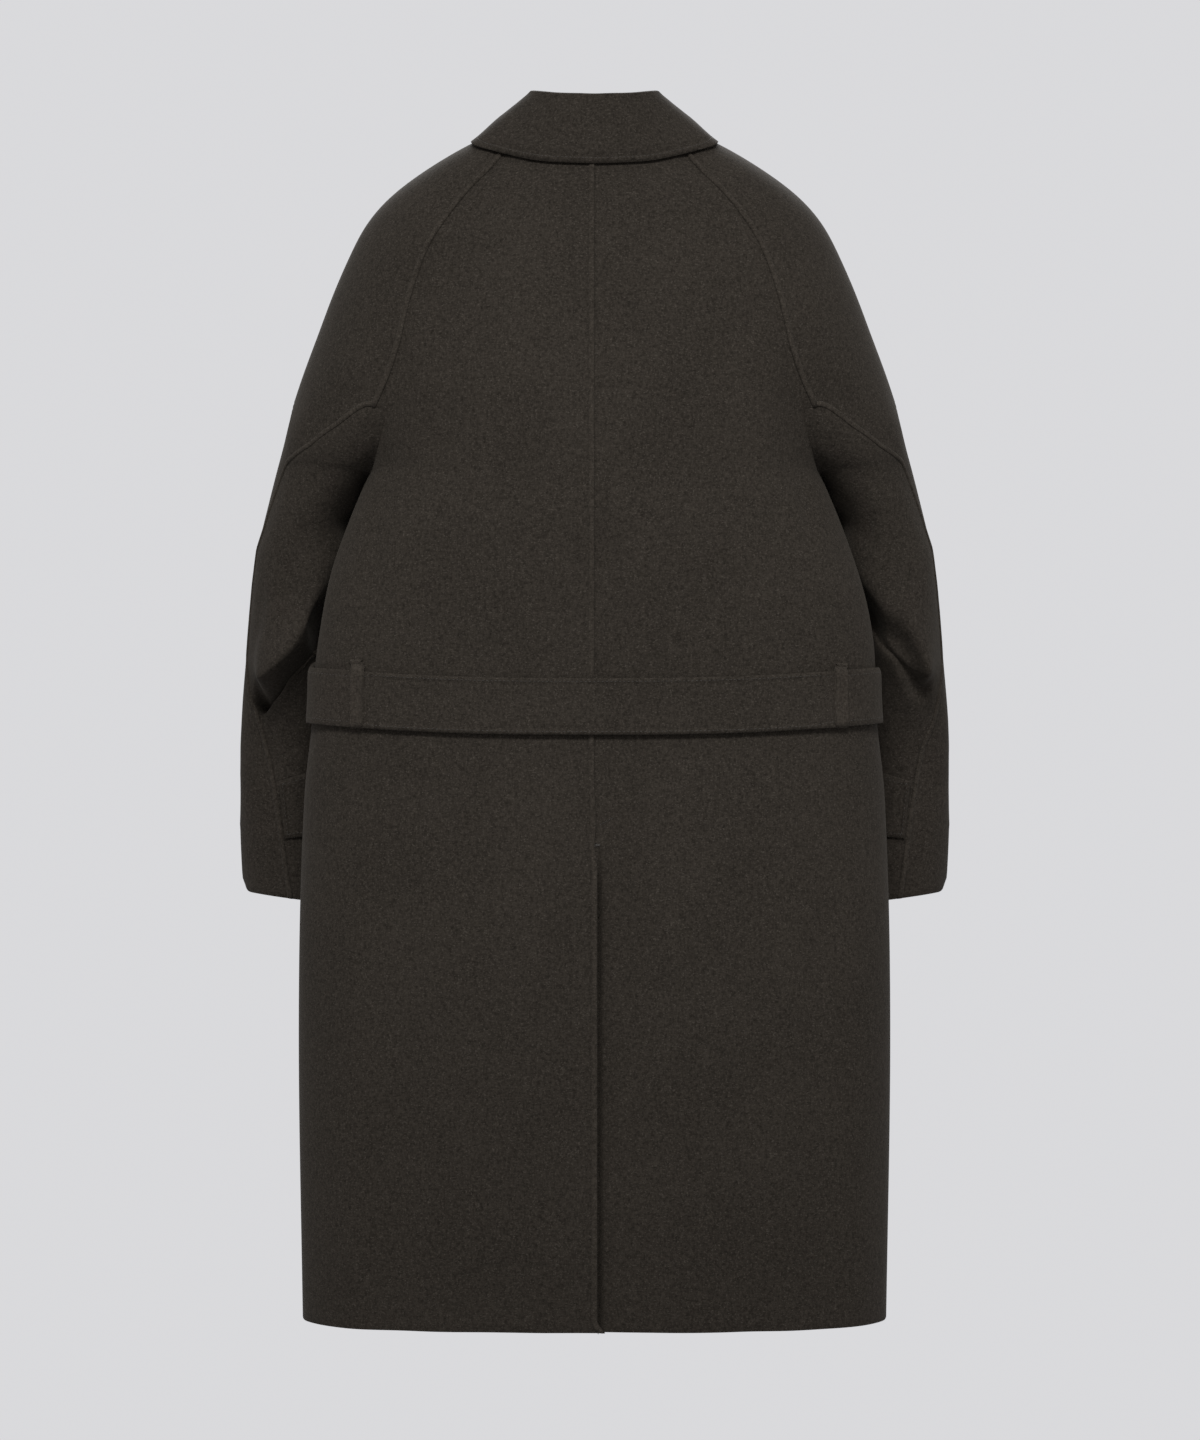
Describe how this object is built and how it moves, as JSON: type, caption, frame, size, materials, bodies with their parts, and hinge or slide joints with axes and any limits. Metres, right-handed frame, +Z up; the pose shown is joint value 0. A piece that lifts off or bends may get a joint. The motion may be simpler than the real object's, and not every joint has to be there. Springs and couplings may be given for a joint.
{
  "type": "balmacaan coat",
  "caption": "Belted knee-length wool balmacaan coat, hollow as if worn, with raglan sleeves, turn-down collar, looped belt, cuff tabs and a centre back vent.",
  "frame": {"origin": "centre of the neck hole, at the height of the back neck seam, where the wearer's neck and shoulders carry the coat", "axes": "+Z up along the back of the coat, -Y the way the wearer faces, +X towards the wearer's left"},
  "size_m": [0.6646, 0.3183, 1.1185],
  "materials": {
    "wool": "dark brown melange wool with a short felted nap",
    "horn": "dark brown mottled horn, half polished"
  },
  "bodies": {
    "root": {"back_left": "wool", "back_right": "wool", "front_left": "wool", "front_right": "wool", "topsleeve_upper_left": "wool", "topsleeve_middle_left": "wool", "topsleeve_lower_left": "wool", "topsleeve_upper_right": "wool", "topsleeve_middle_right": "wool", "topsleeve_lower_right": "wool", "undersleeve_left": "wool", "undersleeve_right": "wool", "collar": "wool", "belt": "wool", "belt_loop_left": "wool", "belt_loop_right": "wool", "belt_buckle": "horn", "cuff_tab_left": "wool", "cuff_tab_right": "wool", "cuff_button_left": "horn", "cuff_button_right": "horn", "front_button_1": "horn", "front_button_2": "horn", "front_button_3": "horn", "front_button_4": "horn", "front_button_5": "horn"}
  },
  "joints": []
}
